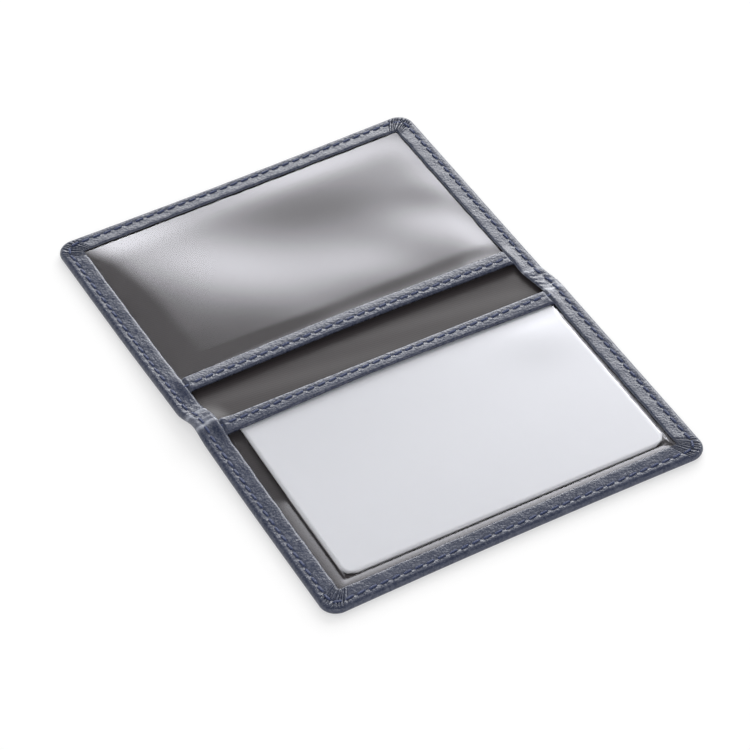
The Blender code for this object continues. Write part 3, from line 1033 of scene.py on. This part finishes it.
def vinyl_material():
    """Clear soft vinyl: see-through, with a gloss on its outward faces that grows at a flat angle."""
    material, tree = new_material("clear_vinyl")
    fresnel = add_node(tree, "ShaderNodeFresnel", IOR=1.90)
    geometry = tree.nodes.new("ShaderNodeNewGeometry")
    clear = add_node(tree, "ShaderNodeBsdfTransparent", Color=(0.975, 0.975, 0.98, 1))
    gloss = add_node(tree, "ShaderNodeBsdfAnisotropic", Color=(0.94, 0.94, 1, 1), Roughness=0.06)
    outward = calculated(tree, "SUBTRACT", 1.0, geometry.outputs["Backfacing"])
    share = calculated(tree, "MULTIPLY", fresnel.outputs["Fac"], outward)
    finish_material(tree, mixed_shader(tree, share, clear, gloss))
    return material


def thread_material():
    """Navy sewing thread with a slight twist."""
    material, tree = new_material("navy_thread")
    where = object_coordinates(tree)
    twist = add_texture(tree, "ShaderNodeTexWave", where, Scale=1800.0, Distortion=2.0)
    shader = add_node(tree, "ShaderNodeBsdfPrincipled", Roughness=0.45)
    colour = ramp(tree, twist.outputs["Fac"], [(0.0, (0.030, 0.045, 0.115)), (1.0, (0.070, 0.092, 0.200))])
    tree.links.new(colour, shader.inputs["Base Color"])
    tree.links.new(bump(tree, twist.outputs["Fac"], TWIST_BUMP), shader.inputs["Normal"])
    finish_material(tree, shader)
    return material


def card_material():
    """Pale satin card stock with a faint tooth."""
    material, tree = new_material("card_stock")
    where = object_coordinates(tree)
    tooth = add_texture(tree, "ShaderNodeTexNoise", where, Scale=3500.0, Detail=4.0)
    shader = add_node(tree, "ShaderNodeBsdfPrincipled", Roughness=0.55)
    colour = ramp(tree, tooth.outputs["Fac"], [(0.3, (0.78, 0.79, 0.815)), (0.7, (0.82, 0.83, 0.855))])
    tree.links.new(colour, shader.inputs["Base Color"])
    tree.links.new(bump(tree, tooth.outputs["Fac"], TOOTH_BUMP, 0.4), shader.inputs["Normal"])
    finish_material(tree, shader)
    return material


def camera():
    """The photograph's view, turned a little about its own axis."""
    back = Vector((math.sin(CAMERA_AZIMUTH) * math.cos(CAMERA_ELEVATION),
                   -math.cos(CAMERA_AZIMUTH) * math.cos(CAMERA_ELEVATION), math.sin(CAMERA_ELEVATION)))
    right = Vector((0, 0, 1)).cross(back).normalized()
    up = back.cross(right)
    rolled_right = math.cos(CAMERA_ROLL) * right + math.sin(CAMERA_ROLL) * up
    rolled_up = -math.sin(CAMERA_ROLL) * right + math.cos(CAMERA_ROLL) * up
    data = bpy.data.cameras.new("camera")
    data.sensor_width = SENSOR_WIDTH
    data.lens = LENS_PIXELS / FRAME_PIXELS * SENSOR_WIDTH
    data.clip_start = CAMERA_CLIP_START
    obj = bpy.data.objects.new("camera", data)
    bpy.context.scene.collection.objects.link(obj)
    turn = Matrix((rolled_right, rolled_up, back)).transposed().to_4x4()
    obj.matrix_world = Matrix.Translation(CAMERA_TARGET + back * CAMERA_DISTANCE) @ turn
    bpy.context.scene.camera = obj


def toward(azimuth, elevation, distance):
    """A point at a compass direction from the object, 0 degrees straight behind it."""
    a, e = math.radians(azimuth), math.radians(elevation)
    return Vector((math.sin(a) * math.cos(e), math.cos(a) * math.cos(e), math.sin(e))) * distance


def softbox(name, azimuth, elevation, distance, size, radiance, edges):
    """A studio light that faces the object and fades toward its left, right, top and bottom edges."""
    data = bpy.data.lights.new(name, "AREA")
    data.shape = "RECTANGLE"
    data.size, data.size_y = size
    data.energy = radiance * math.pi * size[0] * size[1]
    data.use_nodes = True
    tree = data.node_tree
    tree.nodes.clear()
    across = tree.nodes.new("ShaderNodeSeparateXYZ")
    tree.links.new(tree.nodes.new("ShaderNodeNewGeometry").outputs["Parametric"], across.inputs[0])
    strength = 1.0
    left, right, top, bottom = edges
    fades = (("X", 0, left), ("X", 1, 1 - right), ("Y", 1, 1 - top), ("Y", 0, bottom))
    for axis, fade_from, fade_to in fades:
        fade = add_node(tree, "ShaderNodeMapRange", From_Min=fade_from, From_Max=fade_to)
        fade.interpolation_type = "SMOOTHSTEP"
        tree.links.new(across.outputs[axis], fade.inputs["Value"])
        strength = calculated(tree, "MULTIPLY", strength, fade.outputs["Result"])
    glow = tree.nodes.new("ShaderNodeEmission")
    tree.links.new(strength, glow.inputs["Strength"])
    output = tree.nodes.new("ShaderNodeOutputLight")
    tree.links.new(glow.outputs[0], output.inputs["Surface"])
    obj = bpy.data.objects.new(name, data)
    bpy.context.scene.collection.objects.link(obj)
    spot = toward(azimuth, elevation, distance)
    obj.matrix_world = Matrix.Translation(spot) @ spot.to_track_quat("Z", "Y").to_matrix().to_4x4()


def seen_directly(tree):
    """1 for what the camera sees, also in a gloss or through glass, and 0 for what lights the object."""
    path = tree.nodes.new("ShaderNodeLightPath")
    share = path.outputs["Is Camera Ray"]
    for ray in ("Is Glossy Ray", "Is Transmission Ray"):
        share = calculated(tree, "MAXIMUM", share, path.outputs[ray])
    return share


def floor():
    """A pale floor that looks white to the camera and keeps the object's shadow."""
    bm = bmesh.new()
    bmesh.ops.create_grid(bm, x_segments=FLOOR_SEGMENTS, y_segments=FLOOR_SEGMENTS, size=FLOOR_REACH)
    material, tree = new_material("pale_floor")
    paper = add_node(tree, "ShaderNodeBsdfDiffuse", Color=(0.98, 0.98, 0.98, 1))
    white = add_node(tree, "ShaderNodeEmission", Color=(1, 1, 1, 1), Strength=1.0)
    share = calculated(tree, "MULTIPLY", seen_directly(tree), FLOOR_WHITE_SHARE)
    finish_material(tree, mixed_shader(tree, share, paper, white))
    obj = finish_mesh("floor", bm, material)
    obj.location.z = -FLOOR_DROP


def world():
    """A studio sky: white to the camera, dark overhead in a gloss, and an even fill light on the object."""
    sky = bpy.data.worlds.new("studio")
    sky.use_nodes = True
    tree = sky.node_tree
    tree.nodes.clear()
    fill = add_node(tree, "ShaderNodeBackground", Color=(1, 1, 1, 1), Strength=SKY_FILL)
    white = add_node(tree, "ShaderNodeBackground", Color=(1, 1, 1, 1))
    direction = tree.nodes.new("ShaderNodeSeparateXYZ")
    tree.links.new(tree.nodes.new("ShaderNodeTexCoord").outputs["Generated"], direction.inputs[0])
    stops = [(CEILING_START, (1, 1, 1)), (CEILING_FULL, (0.04, 0.04, 0.04))]
    ceiling = ramp(tree, direction.outputs["Z"], stops)
    path = tree.nodes.new("ShaderNodeLightPath")
    brightness = calculated(tree, "MAXIMUM", ceiling, path.outputs["Is Camera Ray"])
    tree.links.new(brightness, white.inputs["Strength"])
    mix = mixed_shader(tree, seen_directly(tree), fill, white)
    output = tree.nodes.new("ShaderNodeOutputWorld")
    tree.links.new(mix.outputs[0], output.inputs["Surface"])
    bpy.context.scene.world = sky


def bend_at_fold(piece, half):
    """Bakes a piece's placement into its mesh, alike for both halves; it does not bend the piece."""
    if half == FRONT:
        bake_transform(piece)
    else:
        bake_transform(piece)


bpy.context.scene.view_settings.view_transform = "Standard"
camera()
world()
floor()
for name, light in LIGHTS.items():
    softbox(name, *light)

leather = leather_material()
nylon = lining_material()
vinyl = vinyl_material()
thread = thread_material()
stock = card_material()

for half in (FRONT, BACK):
    side = NAMES[half]
    body = f"{side}_half"
    skin = cover(half, leather)
    cloth = lining(half, nylon)
    hem_row = hem_stitches(half, thread)
    for piece in (skin, cloth, hem_row):
        bend_at_fold(piece, half)
    mouth = strip(half, leather)
    mouth_row = strip_stitches(half, thread)
    pane = window(half, vinyl)
    for piece in (mouth, mouth_row, pane):
        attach(piece, body)
    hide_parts(f"{side}_cover", "spine_cover")
    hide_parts(f"{side}_lining", "spine_lining")
    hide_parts(f"{side}_edge_thread", "left_fold_thread", "right_fold_thread")
    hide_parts(f"{side}_binding")
    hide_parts(f"{side}_binding_thread")
    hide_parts(f"{side}_window")

id_card = card(stock)
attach(id_card, "card")
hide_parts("id_card")
